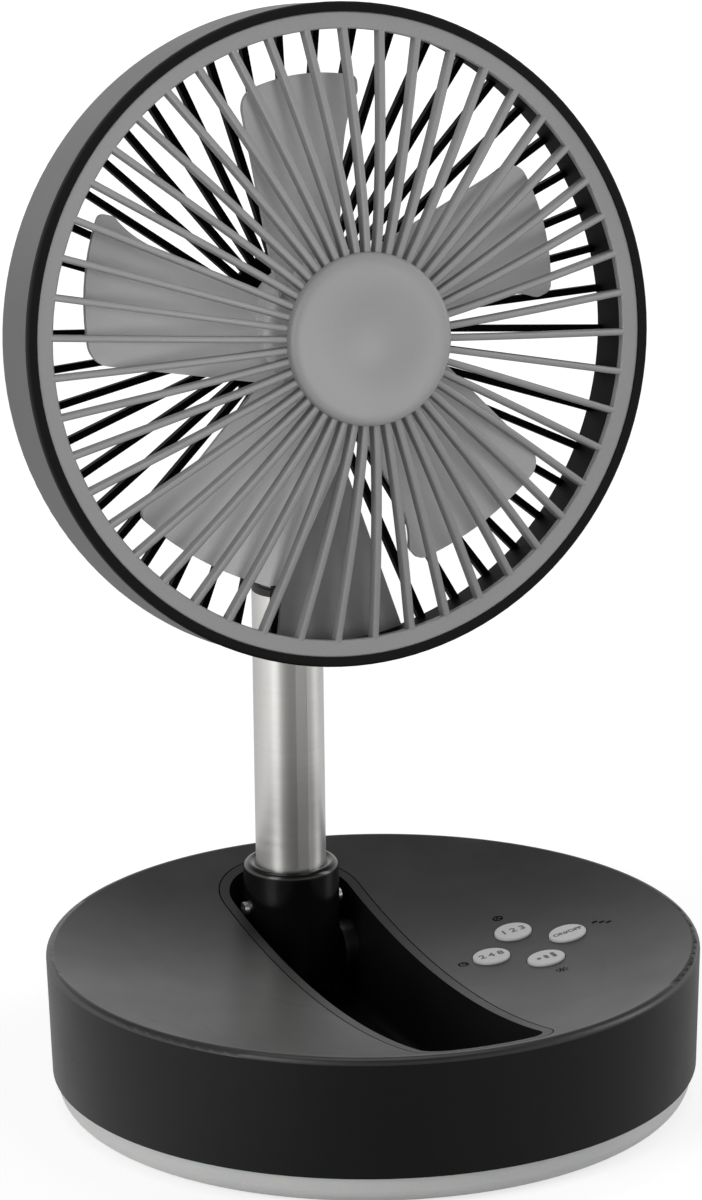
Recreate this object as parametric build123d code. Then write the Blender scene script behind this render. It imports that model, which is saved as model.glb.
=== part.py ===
"""Portable folding camping fan: round base with a light ring, telescopic pole, tilting fan head.

Millimetres.  The origin is the centre of the foot plane, +Z is up and the fan faces -Y.
The pole stands at the rear of a trough that runs along Y; folded forward it lies in the
trough and the head comes to rest face up over the dished top of the base.
"""

import os
from math import asin, atan2, cos, degrees, radians, sin, sqrt, tan

from build123d import *

# ---------------------------------------------------------------- driving dimensions

# base shell
base_radius = 100.0  # at the seam between side wall and top cover
wall_foot_radius = 98.8  # at the lower edge of the side wall
wall_thickness = 2.4
seam_height = 46.3
cover_thickness = 2.0
rim_round = 2.0
dish_curve = 363.5  # radius of the hollow top face
spigot_depth = 5.0
spigot_thickness = 1.6
fit_gap = 0.2  # between shells that drop into each other
over = 1.0  # how far a cutting tool runs past a face
edge_break = 0.4  # small chamfers and gaps at edges

# light ring and bottom
ring_height = 10.0
ring_top_radius = 97.9
ring_foot_radius = 89.5
ring_thickness = 2.0
ring_lift = 0.6
ring_band_draft = 1.0
ring_belly = (2.1, 1.25)  # how far the round of the foot stands in from the band and up from the foot
ring_shelf = 5.0
plate_lift = 1.0
plate_thickness = 3.4
plate_step = 1.7
plate_lap = 3.5
foot_radius = 9.0
foot_circle = 70.0
foot_sink = 0.6
boss_radius = 4.0
boss_circle = 80.0
screw_radius = 1.5
screw_head_radius = 2.8
screw_head_height = 1.6
screw_bite = 9.0

# trough that takes the folded pole
trough_half_width = 19.5
trough_end_radius = 92.0
trough_corner = 8.0
trough_floor = 5.4
trough_wall = 1.6
trough_bottom_round = 3.0
flange_width = 3.0
flange_thickness = 1.6
seam_gap = 0.4
pivot_boss_radius = 8.0
pivot_boss_height = 3.2

# pole: socket, tubes and their bushes
pole_y = 67.0
pivot_height = 22.0
pin_radius = 3.0
pin_reach = 23.0
running_gap = 0.05
socket_radius = 15.0
socket_top = 48.5
collar_height = 4.6
collar_round = 2.1
collar_bowl = 1.6  # how far the mouth falls towards the pole
tube_foot = 30.0
tube_radii = [11.0, 9.2, 7.5, 5.8]
tube_wall = 0.6
tube_foot_step = 2.0
groove_half_width = 1.8
groove_depth = 0.5
outer_tube_top = 142.4
slide_gap = 0.08
bush_length = 9.0
bush_spigot = 6.0
bush_rims = [2.6, 1.4, 1.4]
stack_gap = 0.4
set_screw_height = 39.0
set_screw_head = 2.1
set_screw_sink = 0.2

# tilt hinge
hinge_forward = 2.0  # hinge axis in front of the pole axis
hinge_height = 157.35
tilt_pin_radius = 2.0
tilt_pin_head = 3.2
clevis_radius = 6.6
cheek_thickness = 3.0
ear_thickness = 3.4
ear_radius = 6.2
plug_length = 14.0
saddle_gap = 0.3  # under the ears
saddle_back = 7.0  # behind the pole axis
pin_knob = 1.4
pin_knob_round = 0.8
barrel_half_length = 5.1
barrel_radius = 5.6
barrel_groove = (0.8, 0.5)  # width and depth
hinge_side_gap = 0.2

# head
head_y = 19.3  # centre of the rubber ring
head_z = 236.0
head_tilt = 11.5  # leaning back at rest
head_radius = 100.0
rubber_inner_radius = 97.2
rubber_depth = 2.8
rubber_front = 1.2
rubber_proud = 0.2
rubber_round = 0.8
shell_depth = 26.5
shell_rear_radius = 99.4
shell_wall = 1.8
shell_round = 3.0
shell_draft = 0.4
rear_lip_radius = 95.7
rear_lip_thickness = 1.4

# front grille
rib_count = 48
rib_phase = 1.5
rib_width = 2.0
rib_depth = 4.4
grille_inner_radius = 92.0
grille_ring_depth = 2.6
grille_ring_front = 0.8
grille_rise = 21.0
grille_bow = 1.35
rib_root = 1.0  # how far a rib runs into the hub and the ring
rib_round = 0.76
grille_ring_round = 0.5
cap_radius = 26.0
cap_rise = 6.6
cap_edge = 1.2
cap_shoulder = (0.78, 0.62)  # shares of the radius and the rise
grille_hub_radius = 24.4
grille_hub_depth = 4.0

# rear grille
spoke_count = 48
spoke_width = 2.1
spoke_phase = 1.5
spoke_depth = 3.0
spine_half_angle = 12.3
spine_thickness = 2.4
spine_angle = 270.0
rear_hub_radius = 26.0
rear_hub_back = -36.0
rear_hub_thickness = 2.6
liner_wall = 2.6
rear_cap_radius = 23.0
rear_cap_depth = 2.6
rear_cap_round = 1.6
rear_cap_rim = 1.4
rear_cap_floor = 0.8

# head bracket
bracket_pad_half = 9.6
bracket_pad_low = -80.0
bracket_pad_high = -48.0
bracket_pad_thickness = 2.6
bracket_arm_below = 1.8
bracket_arm_above = 6.0
bracket_screw_inset = 6.0
bracket_screw_cover = 1.0  # of the spine panel left over the tip of a screw

# motor and rotor
motor_radius = 18.0
motor_front = -14.5
motor_wall = 1.2
motor_round = 1.5
motor_screw_circle = 13.0
motor_screw_count = 3
motor_screw_turn = 90.0
bearing_wall = 1.2
magnet_gap = 1.0
magnet_split = 4.0
magnet_thickness = 4.0
armature_radius = 11.5
shaft_radius = 1.6
bearing_radius = 4.5
bearing_length = 3.0
rotor_hub_radius = 23.0
rotor_hub_front = -4.0
rotor_hub_back = -21.5
rotor_hub_wall = 1.8
blade_count = 5
blade_phase = 90.5
blade_tip_radius = 78.5
blade_centre = -14.0
blade_root_pitch = 30.0
blade_tip_pitch = 21.0
blade_thickness = 1.8
blade_lead_root = 18.0  # width from the blade's middle line to its leading edge
blade_lead_tip = 23.6
blade_trail_root = 7.0  # and to its trailing edge, which ends in a small hook
blade_neck = (52.0, 13.8)  # along and across
blade_hook = (70.5, 21.6)
blade_hook_round = 2.6
blade_corner = 6.5
blade_root = 2.0  # how far a blade runs on past its root and its tip before it is trimmed
blade_stations = (40.0, 58.0)
rotor_hub_round = 3.0
rotor_sleeve_wall = 2.1
rotor_sleeve_gap = 1.0
armature_gap = 0.6
armature_slot = (4.0, 2.0)
armature_slots = 5

# buttons on the right of the dish
pad_x = 52.2
pad_spread = 12.8
button_radius = 5.8
button_gap = 0.25
button_proud = 0.8
button_flange = 1.3
button_flange_thickness = 1.0
button_travel = 0.8
button_slack = 0.1  # over its switch and under the cover
button_round = 0.6
stem_radius = 2.0
switch_size = 6.0
switch_height = 3.5
board_thickness = 1.6
board_top = 28.6
board_margin = 6.0
board_post_radius = 2.5
chip_size = (8.0, 8.0, 1.2)

# power parts
cell_radius = 9.2
cell_length = 65.0
cell_pitch = 19.0
cell_count = 3
cradle_floor = 1.0
cradle_rib = 1.6
cradle_rib_height = 8.0
cradle_gap = 2.0  # beside the trough
cradle_end = 3.0  # past each end of the cells
cradle_open = 0.55  # share of a cell's width that is open under its middle
cell_tip_radius = 3.0
cell_tip = 1.2
port_angle = 62.0
port_height = 19.0
port_width = 9.0
port_tall = 3.3
port_shell = 0.3
port_depth = 7.4
port_sink = 0.6
port_back_wall = 1.2
port_tongue = (6.3, 0.7, 5.4)
port_board = (18.0, 12.8)  # width along the wall and depth
port_board_gap = 1.2  # behind the wall
led_count = 24
led_size = (3.0, 2.0, 1.2)
light_board_radius = 90.3
light_board_width = 6.0
light_board_thickness = 1.2

# ---------------------------------------------------------------- worked-out places

rim_angle = asin((base_radius - rim_round) / (dish_curve + rim_round))
dish_edge = dish_curve * sin(rim_angle)
dish_floor = seam_height + rim_round * cos(rim_angle) - dish_curve * (1 - cos(rim_angle))
dish_centre = dish_floor + dish_curve
plate_top = plate_lift + plate_thickness
hinge_y = pole_y - hinge_forward
set_screw_seat = socket_radius - set_screw_sink
tilt = radians(head_tilt)
HEAD = Location((0, head_y, head_z), (90 - head_tilt, 0, 0))
# the tilt hinge in the head's own frame: x across, y up the head, z out of its face
hinge_up = (hinge_y - head_y) * sin(tilt) + (hinge_height - head_z) * cos(tilt)
hinge_out = -(hinge_y - head_y) * cos(tilt) + (hinge_height - head_z) * sin(tilt)
grille_top = grille_ring_front + grille_rise
rear_rim = -shell_depth
liner_outside = head_radius - shell_wall - shell_draft - fit_gap
can_back = rear_hub_back + rear_hub_thickness
ear_outside = barrel_half_length + hinge_side_gap + ear_thickness
cheek_inside = ear_outside + hinge_side_gap
cheek_outside = cheek_inside + cheek_thickness
bracket_screw_bite = bracket_pad_thickness + spine_thickness - bracket_screw_cover
blade_start = sqrt(rotor_hub_radius**2 - blade_lead_root**2) - blade_root


def dish_at(r, drop=0.0):
    """Height of the hollow top face at radius r, or of the face that lies drop under it."""
    return dish_centre - sqrt((dish_curve + drop) ** 2 - r**2)


# ---------------------------------------------------------------- helpers


def cylinder(radius, low, high, x=0.0, y=0.0):
    """An upright cylinder between two heights."""
    at_foot = (Align.CENTER, Align.CENTER, Align.MIN)
    return Pos(x, y, low) * Cylinder(radius, high - low, align=at_foot)


def tube(outer, inner, low, high, x=0.0, y=0.0):
    """An upright ring between two heights."""
    return cylinder(outer, low, high, x, y) - cylinder(inner, low, high, x, y)


def box(low, high):
    """A box between two corners."""
    size = [b - a for a, b in zip(low, high)]
    middle = [(a + b) / 2 for a, b in zip(low, high)]
    return Pos(*middle) * Box(*size)


def across(radius, x_low, x_high, y, z):
    """A cylinder along X between two x values."""
    middle = (x_low + x_high) / 2
    return Pos(middle, y, z) * Rot(0, 90, 0) * Cylinder(radius, x_high - x_low)


def turned(*edges):
    """A solid of revolution about Z from edges drawn in radius and height."""
    return revolve(Plane.XZ * make_face(Wire(edges)), Axis.Z)


def turned_polygon(*points):
    """A solid of revolution about Z from a closed polygon of (radius, height) points."""
    return revolve(Plane.XZ * make_face(Polyline(*points, close=True)), Axis.Z)


def around(shape, count, start=0.0):
    """Copies of a shape spread evenly about Z."""
    return [Rot(0, 0, start + i * 360 / count) * shape for i in range(count)]


def arc_points(radius, from_deg, to_deg, centre=(0.0, 0.0)):
    """Start, middle and end of an arc about a centre in the drawing plane."""
    turns = (from_deg, (from_deg + to_deg) / 2, to_deg)
    return [
        (centre[0] + radius * cos(radians(t)), centre[1] + radius * sin(radians(t)))
        for t in turns
    ]


def under_dish(drop=0.0):
    """Everything below the hollow top face, or below the face that lies drop under it."""
    edge = dish_edge
    middle = edge / 2
    return turned(
        Line((0, 0), (edge, 0)),
        Line((edge, 0), (edge, dish_at(edge, drop))),
        ThreePointArc((edge, dish_at(edge, drop)), (middle, dish_at(middle, drop)), (0, dish_at(0, drop))),
        Line((0, dish_at(0, drop)), (0, 0)),
    )


def trough_outline(grow):
    """Plan of the trough: straight sides, a round rear end about the pole, a front end along the rim."""
    half = trough_half_width + grow
    plan = Pos(0, (pole_y - base_radius) / 2) * Rectangle(2 * half, pole_y + base_radius)
    plan += Pos(0, pole_y) * Circle(half)
    plan &= Circle(trough_end_radius + grow)
    corners = plan.vertices().sort_by(Axis.Y)[:2]
    return fillet(corners, trough_corner + grow)


def trough_prism(grow, low, high):
    """The trough plan as an upright prism."""
    return Pos(0, 0, low) * extrude(trough_outline(grow), high - low)


def screw(bite, radius=screw_radius, head=screw_head_radius):
    """A pan head screw: head below z = 0, shank up to z = bite, with a cross recess."""
    body = cylinder(head, -screw_head_height, 0) + cylinder(radius, 0, bite)
    slot = head * 1.1
    for size in ((slot, slot / 4), (slot / 4, slot)):
        body -= Pos(0, 0, -screw_head_height) * Box(size[0], size[1], screw_head_height)
    return body


def save(name, shape):
    """Write one sub-part as a STEP file."""
    pieces = shape if isinstance(shape, list) else [shape]
    solids = [s for piece in pieces for s in piece.solids()]
    export_step(solids[0] if len(solids) == 1 else Compound(solids), f"parts/{name}.step")


# ---------------------------------------------------------------- base


def button_places():
    """Centres of the four buttons, as a diamond: name and (x, y)."""
    names = ("button_speed", "button_power", "button_timer", "button_light")
    turns = (90, 0, 180, 270)
    return [
        (name, (pad_x + pad_spread * cos(radians(t)), pad_spread * sin(radians(t))))
        for name, t in zip(names, turns)
    ]


def boss_places():
    """Centres of the four screw bosses."""
    return [(boss_circle * cos(radians(t)), boss_circle * sin(radians(t))) for t in (40, 140, 220, 320)]


def wall_inside(z):
    """Inner radius of the side wall at a height."""
    share = (z - ring_height) / (seam_height - ring_height)
    return wall_foot_radius + (base_radius - wall_foot_radius) * share - wall_thickness


def top_cover():
    spigot_foot = seam_height - spigot_depth
    spigot_outside = wall_inside(spigot_foot) - fit_gap
    spigot_inside = spigot_outside - spigot_thickness
    rim = arc_points(rim_round, 90 + degrees(rim_angle), 0, (base_radius - rim_round, seam_height))
    half = dish_edge / 2
    under = spigot_inside / 2
    cover = turned(
        ThreePointArc((0, dish_floor), (half, dish_at(half)), rim[0]),
        ThreePointArc(*rim),
        Line((base_radius, seam_height), (spigot_outside, seam_height)),
        Line((spigot_outside, seam_height), (spigot_outside, spigot_foot)),
        Line((spigot_outside, spigot_foot), (spigot_inside, spigot_foot)),
        Line((spigot_inside, spigot_foot), (spigot_inside, dish_at(spigot_inside, cover_thickness))),
        ThreePointArc(
            (spigot_inside, dish_at(spigot_inside, cover_thickness)),
            (under, dish_at(under, cover_thickness)),
            (0, dish_floor - cover_thickness),
        ),
        Line((0, dish_floor - cover_thickness), (0, dish_floor)),
    )
    bosses = [cylinder(boss_radius, plate_top, seam_height, x, y) for x, y in boss_places()]
    cover += [boss & under_dish(cover_thickness / 2) for boss in bosses]
    bite = plate_top + screw_bite + over
    cover -= [cylinder(screw_radius, plate_top, bite, x, y) for x, y in boss_places()]
    cover -= trough_prism(flange_width + seam_gap, dish_floor - 2 * cover_thickness, base_radius)
    for _, (x, y) in button_places():
        cover -= cylinder(button_radius + button_gap, board_top, base_radius, x, y)
    return cover


def port_frame():
    """Frame at the mouth of the charging inlet: z points out of the wall."""
    t = radians(port_angle)
    mouth = wall_inside(port_height) + wall_thickness - port_sink
    out = (cos(t), sin(t), 0)
    along = (-sin(t), cos(t), 0)
    return Plane(origin=(mouth * cos(t), mouth * sin(t), port_height), x_dir=along, z_dir=out).location


def slot_prism(width, tall, low, high):
    """A prism of rounded slot section along z."""
    return Pos(0, 0, low) * extrude(SlotOverall(width, tall), high - low)


def side_wall():
    wall = turned_polygon(
        (wall_foot_radius - wall_thickness, ring_height),
        (wall_foot_radius, ring_height),
        (base_radius, seam_height),
        (base_radius - wall_thickness, seam_height),
    )
    mouth = slot_prism(port_width + fit_gap, port_tall + fit_gap, -wall_thickness, wall_thickness)
    return wall - port_frame() * mouth


def light_ring():
    """Translucent ring: a near-vertical band over a part that rounds in to the foot."""
    knee_radius = ring_top_radius - ring_band_draft
    knee_height = ring_height / 2
    inner_top = ring_top_radius - ring_thickness
    lip = ring_foot_radius - ring_thickness
    lip_top = plate_lift + plate_step
    return turned(
        Line((inner_top, ring_height), (ring_top_radius, ring_height)),
        Line((ring_top_radius, ring_height), (knee_radius, knee_height)),
        ThreePointArc(
            (knee_radius, knee_height),
            (knee_radius - ring_belly[0], ring_lift + ring_belly[1]),
            (ring_foot_radius, ring_lift),
        ),
        Line((ring_foot_radius, ring_lift), (lip, ring_lift)),
        Line((lip, ring_lift), (lip, lip_top)),
        Line((lip, lip_top), (lip + ring_shelf, lip_top)),
        Line((lip + ring_shelf, lip_top), (knee_radius - ring_thickness, knee_height)),
        Line((knee_radius - ring_thickness, knee_height), (inner_top, ring_height)),
    )


def foot_places():
    return [(foot_circle * cos(radians(t)), foot_circle * sin(radians(t))) for t in (45, 135, 225, 315)]


def bottom_plate():
    lip = ring_foot_radius - ring_thickness
    step = plate_lift + plate_step
    plate = cylinder(lip - fit_gap, plate_lift, step) + cylinder(lip + plate_lap, step, plate_top)
    for x, y in foot_places():
        plate -= cylinder(foot_radius, plate_lift, plate_lift + foot_sink, x, y)
    for x, y in boss_places():
        plate -= cylinder(screw_radius, plate_lift, plate_top, x, y)
        plate -= cylinder(screw_head_radius, plate_lift, plate_lift + screw_head_height, x, y)
    return plate


def rubber_feet():
    return [chamfered_foot(x, y) for x, y in foot_places()]


def chamfered_foot(x, y):
    foot = cylinder(foot_radius, 0, plate_lift + foot_sink, x, y)
    return chamfer(foot.edges().sort_by(Axis.Z)[0], edge_break)


def base_screws():
    seat = plate_lift + screw_head_height
    return [Pos(x, y, seat) * screw(screw_bite) for x, y in boss_places()]


def pole_trough():
    """Liner of the trough with a flange that lies flush in the top cover and two pivot bosses."""
    top = dish_at(trough_end_radius + flange_width) + over
    liner = trough_prism(trough_wall, plate_top, top) & under_dish()
    flange = trough_prism(flange_width, plate_top, top) & (under_dish() - under_dish(flange_thickness))
    hollow = trough_prism(0, trough_floor, top)
    hollow = fillet(hollow.faces().sort_by(Axis.Z)[0].edges(), trough_bottom_round)
    liner = liner + flange - hollow
    for side in (-1, 1):
        wall = side * (trough_half_width + trough_wall)
        face = side * (trough_half_width - pivot_boss_height)
        liner += across(pivot_boss_radius, min(wall, face), max(wall, face), pole_y, pivot_height)
    return liner - across(pin_radius, -base_radius, base_radius, pole_y, pivot_height)


def pole_pin():
    """Hinge pin through the trough walls, the washers and the socket."""
    pin = across(pin_radius, -pin_reach, pin_reach, pole_y, pivot_height)
    return chamfer(pin.edges().filter_by(GeomType.CIRCLE), edge_break)


def pivot_washers():
    """Friction washers between the socket and the trough bosses."""
    inner = socket_radius + running_gap
    outer = trough_half_width - pivot_boss_height
    washers = []
    for side in (-1, 1):
        low, high = sorted((side * inner, side * outer))
        washer = across(pivot_boss_radius, low, high, pole_y, pivot_height)
        washers.append(washer - across(pin_radius, low - over, high + over, pole_y, pivot_height))
    return washers


def cell_places():
    """x of each battery cell, beside the trough on the left."""
    first = -(trough_half_width + trough_wall + cradle_rib + cell_radius + cradle_gap)
    return [first - i * cell_pitch for i in range(cell_count)]


def cell_height():
    return plate_top + cradle_floor + cell_radius


def battery_cells():
    cells = []
    for x in cell_places():
        cell = Pos(x, 0, cell_height()) * Rot(90, 0, 0) * Cylinder(cell_radius, cell_length)
        tip = Pos(x, -(cell_length + cell_tip) / 2, cell_height())
        cell += tip * Rot(90, 0, 0) * Cylinder(cell_tip_radius, cell_tip)
        cells.append(cell)
    return cells


def battery_cradle():
    """Tray with ribs between the cells."""
    places = cell_places()
    right = places[0] + cell_radius + cradle_rib
    left = places[-1] - cell_radius - cradle_rib
    half = cell_length / 2 + cradle_end
    tray = box((left, -half, plate_top), (right, half, plate_top + cradle_floor + cradle_rib_height))
    room = cell_radius + fit_gap
    for x in places:
        tray -= Pos(x, 0, cell_height()) * Rot(90, 0, 0) * Cylinder(room, 2 * half - 2 * cradle_rib)
        slot = room * cradle_open
        end = half - cradle_rib
        tray -= box((x - slot, -end, plate_top + cradle_floor), (x + slot, end, seam_height))
    return tray & cylinder(light_board_radius - light_board_width - fit_gap, 0, seam_height)


def control_board():
    reach = pad_spread + board_margin
    low = board_top - board_thickness
    board = box((pad_x - reach, -reach, low), (pad_x + reach, reach, board_top))
    post = board_post_radius
    for sx in (-1, 1):
        for sy in (-1, 1):
            x = pad_x + sx * (reach - post)
            y = sy * (reach - post)
            board += cylinder(post, plate_top, low, x, y)
    return board + Pos(pad_x, 0, board_top + chip_size[2] / 2) * Box(*chip_size)


def tact_switches():
    half = switch_size / 2
    top = board_top + switch_height
    return [
        box((x - half, y - half, board_top), (x + half, y + half, top)) for _, (x, y) in button_places()
    ]


def button(x, y):
    """A cap that follows the dish, a flange that keeps it in, and a stem over its switch."""
    radial = sqrt(x**2 + y**2)
    reach = button_radius + button_flange
    flange_top = dish_at(radial - reach, cover_thickness) - button_slack
    stem_foot = board_top + switch_height + button_travel + button_slack
    cap = cylinder(button_radius, flange_top, base_radius, x, y)
    skin = Pos(0, 0, button_proud) * under_dish()
    cap = cap & skin
    cap = fillet(cap.edges().sort_by(Axis.Z)[-1], button_round)
    cap += cylinder(reach, flange_top - button_flange_thickness, flange_top, x, y)
    return cap + cylinder(stem_radius, stem_foot, flange_top, x, y)


def charging_port():
    """A slim reversible charging inlet in a metal shell, with a tongue inside."""
    shell = slot_prism(port_width, port_tall, -port_depth, 0)
    inside = (port_width - 2 * port_shell, port_tall - 2 * port_shell)
    floor = -port_depth + port_back_wall
    shell -= slot_prism(*inside, floor, over)
    tongue = Pos(0, 0, floor + port_tongue[2] / 2) * Box(*port_tongue)
    front = -wall_thickness - port_board_gap
    half = port_board[0] / 2
    under = -port_tall / 2
    board = box((-half, under - board_thickness, front - port_board[1]), (half, under, front))
    return port_frame() * (shell + tongue + board)


def light_board():
    """Flat ring under the wall, notched where the trough comes down."""
    inner = light_board_radius - light_board_width
    ring = tube(light_board_radius, inner, plate_top, plate_top + light_board_thickness)
    return ring - trough_prism(trough_wall + seam_gap, plate_lift, seam_height)


def light_leds():
    """Lamps on the ring, with none where the trough crosses it."""
    middle = light_board_radius - light_board_width / 2
    height = plate_top + light_board_thickness + led_size[2] / 2
    lamp = Pos(middle, 0, height) * Box(led_size[1], led_size[0], led_size[2])
    lamps = around(lamp, led_count, 180 / led_count)
    clear = trough_half_width + trough_wall + led_size[0]
    return [one for one in lamps if abs(one.center().X) > clear]


# ---------------------------------------------------------------- pole


def keyed(radius, half, floor):
    """A circle with a flat-bottomed key groove at the front, its floor at a distance from the centre."""
    return Circle(radius) - Pos(0, -(floor + radius)) * Rectangle(2 * half, 2 * radius)


def tube_outside(i, gap=0.0):
    """Outer section of tube i, grown by a gap."""
    r = tube_radii[i]
    return keyed(r + gap, groove_half_width - gap, r - groove_depth + gap)


def tube_inside(i, gap=0.0):
    """Inner section of tube i, shrunk by a gap."""
    r = tube_radii[i] - tube_wall
    return keyed(r - gap, groove_half_width + tube_wall + gap, r - groove_depth - gap)


def prism(plan, low, high):
    """A plan drawn about the pole axis as an upright prism."""
    return Pos(0, pole_y, low) * extrude(plan, high - low)


def tube_tops():
    """Height of the top of each tube with the pole pushed in."""
    tops = [outer_tube_top]
    for rim in bush_rims:
        tops.append(tops[-1] + rim + stack_gap)
    return tops


def tube_feet():
    """Height of the foot of each tube with the pole pushed in."""
    return [tube_foot + tube_foot_step * i for i in range(len(tube_radii))]


def telescope_tube(i):
    low = tube_feet()[i]
    high = tube_tops()[i]
    return prism(tube_outside(i) - tube_inside(i), low, high)


def outer_tube():
    wall = telescope_tube(0)
    return wall - across(screw_radius, -base_radius, base_radius, pole_y, set_screw_height)


def top_bush(i):
    """Rim and spigot on top of tube i that guide the next tube."""
    top = tube_tops()[i]
    bore = tube_outside(i + 1, slide_gap)
    rim = prism(tube_outside(i) - bore, top, top + bush_rims[i])
    outer_edge = rim.edges().group_by(Axis.Z)[-1].filter_by(GeomType.CIRCLE).sort_by(SortBy.LENGTH)[-1]
    rim = chamfer(outer_edge, edge_break)
    return rim + prism(tube_inside(i) - bore, top - bush_spigot, top)


def slide_bush(i):
    """Shoe on the foot of tube i that runs inside the tube around it."""
    low = tube_feet()[i]
    return prism(tube_inside(i - 1, slide_gap) - tube_outside(i), low, low + bush_length)


def pole_socket():
    """Barrel that holds the pole and turns on the hinge pin."""
    low = pivot_height - socket_radius
    barrel = cylinder(socket_radius, low, socket_top, 0, pole_y)
    swing = across(socket_radius, -base_radius, base_radius, pole_y, pivot_height)
    heel = swing & Pos(0, pole_y, pivot_height) * Sphere(sqrt(socket_radius**2 + pivot_boss_radius**2))
    barrel &= heel + cylinder(2 * socket_radius, pivot_height, socket_top, 0, pole_y)
    barrel -= prism(tube_outside(0), tube_foot, socket_top)
    barrel -= across(pin_radius + running_gap, -base_radius, base_radius, pole_y, pivot_height)
    for side in (-1, 1):
        barrel -= set_screw_frame(side) * cylinder(screw_radius, 0, socket_radius)
        barrel -= set_screw_frame(side) * cylinder(set_screw_head + fit_gap, -screw_head_height, 0)
    return barrel


def set_screw_frame(side):
    """Seat of a set screw in the side of the socket: z points into the socket."""
    return Location((side * set_screw_seat, pole_y, set_screw_height)) * Rot(0, -90 * side, 0)


def socket_screws():
    bite = set_screw_seat - (tube_radii[0] - tube_wall) - slide_gap
    return [set_screw_frame(side) * screw(bite, head=set_screw_head) for side in (-1, 1)]


def collar_ring():
    """Round lip on the socket whose mouth falls in towards the pole."""
    top = socket_top + collar_height
    lip = socket_radius - collar_round
    inner = tube_radii[0] - groove_depth - tube_wall
    mouth = top - collar_bowl
    ring = turned(
        Line((0, socket_top), (socket_radius, socket_top)),
        Line((socket_radius, socket_top), (socket_radius, top - collar_round)),
        ThreePointArc(*arc_points(collar_round, 0, 90, (lip, top - collar_round))),
        ThreePointArc((lip, top), ((lip + inner) / 2, top - collar_bowl / 3), (inner, mouth)),
        Line((inner, mouth), (0, mouth)),
        Line((0, mouth), (0, socket_top)),
    )
    return Pos(0, pole_y, 0) * ring - prism(tube_outside(0), socket_top, top)


# ---------------------------------------------------------------- tilt hinge


def neck_clevis():
    """Fork on the innermost tube: a plug in the tube, a saddle and two cheeks."""
    seat = tube_tops()[-1]
    plug = prism(tube_inside(len(tube_radii) - 1), seat - plug_length, seat)
    saddle_top = hinge_height - clevis_radius - saddle_gap
    front = hinge_y - clevis_radius
    saddle = box((-cheek_outside, front, seat), (cheek_outside, pole_y + saddle_back, saddle_top))
    fork = plug + saddle
    for side in (-1, 1):
        low, high = sorted((side * cheek_inside, side * cheek_outside))
        cheek = across(clevis_radius, low, high, hinge_y, hinge_height)
        cheek += box((low, front, seat), (high, hinge_y + clevis_radius, hinge_height))
        fork += cheek
    return fork - across(tilt_pin_radius, -base_radius, base_radius, hinge_y, hinge_height)


def tilt_pin():
    reach = cheek_outside
    pin = across(tilt_pin_radius, -reach, reach, hinge_y, hinge_height)
    for side in (-1, 1):
        low, high = sorted((side * reach, side * (reach + pin_knob)))
        knob = across(tilt_pin_head, low, high, hinge_y, hinge_height)
        rims = knob.edges().filter_by(GeomType.CIRCLE).sort_by(Axis.X)
        pin += fillet(rims[0] if side < 0 else rims[-1], pin_knob_round)
    return pin


def tilt_barrel():
    """Friction barrel between the ears."""
    half = barrel_half_length
    barrel = across(barrel_radius, -half, half, hinge_y, hinge_height)
    width, depth = barrel_groove
    for x in (-half / 2, 0, half / 2):
        groove = across(barrel_radius + over, x - width / 2, x + width / 2, hinge_y, hinge_height)
        barrel -= groove - across(barrel_radius - depth, x - width, x + width, hinge_y, hinge_height)
    bore = across(tilt_pin_radius + running_gap, -half - over, half + over, hinge_y, hinge_height)
    return barrel - bore


# ---------------------------------------------------------------- head, in its own frame


def rear_shell():
    """Outer band of the head with a rounded rear edge and a narrow lip."""
    front = rubber_front - rubber_depth
    back = rear_rim
    corner = shell_rear_radius - shell_round
    inside = head_radius - shell_wall
    lip = rear_lip_thickness
    return turned(
        Line((inside, front), (head_radius, front)),
        Line((head_radius, front), (shell_rear_radius, back + shell_round)),
        ThreePointArc(*arc_points(shell_round, 0, -90, (corner, back + shell_round))),
        Line((corner, back), (rear_lip_radius, back)),
        Line((rear_lip_radius, back), (rear_lip_radius, back + lip)),
        Line((rear_lip_radius, back + lip), (inside - shell_draft, back + lip)),
        Line((inside - shell_draft, back + lip), (inside, front)),
    )


def rubber_ring():
    """Soft ring between the shell and the front grille."""
    back = rubber_front - rubber_depth
    ring = tube(head_radius + rubber_proud, rubber_inner_radius, back, rubber_front)
    outer = [e for e in ring.edges().filter_by(GeomType.CIRCLE) if e.radius > head_radius]
    return fillet(outer, rubber_round)


def rib_front(r):
    """Front edge of a rib at a radius, on a soft dome."""
    share = (r - grille_hub_radius) / (grille_inner_radius - grille_hub_radius)
    return grille_ring_front + grille_rise * (1 - max(share, 0.0) ** grille_bow)


def front_rib():
    """One rib along +X: a thin curved blade with rounded front edges."""
    inner = grille_hub_radius - rib_root
    outer = grille_inner_radius + rib_root
    span = grille_inner_radius - grille_hub_radius
    stations = [grille_hub_radius + span * k / 6 for k in range(7)]
    front = [(inner, rib_front(grille_hub_radius))]
    front += [(r, rib_front(r)) for r in stations[1:-1]]
    front.append((outer, grille_ring_front - running_gap))
    back = [(r, z - rib_depth) for r, z in reversed(front)]
    face = make_face(
        Wire([Spline(*front), Line(front[-1], back[0]), Spline(*back), Line(back[-1], front[0])])
    )
    rib = extrude(Plane.XZ * face, rib_width / 2, both=True)
    middle = rib_front((inner + outer) / 2) - rib_depth / 2
    long_edges = [e for e in rib.edges() if e.length > span and e.center().Z > middle]
    return fillet(long_edges, rib_round)


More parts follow.
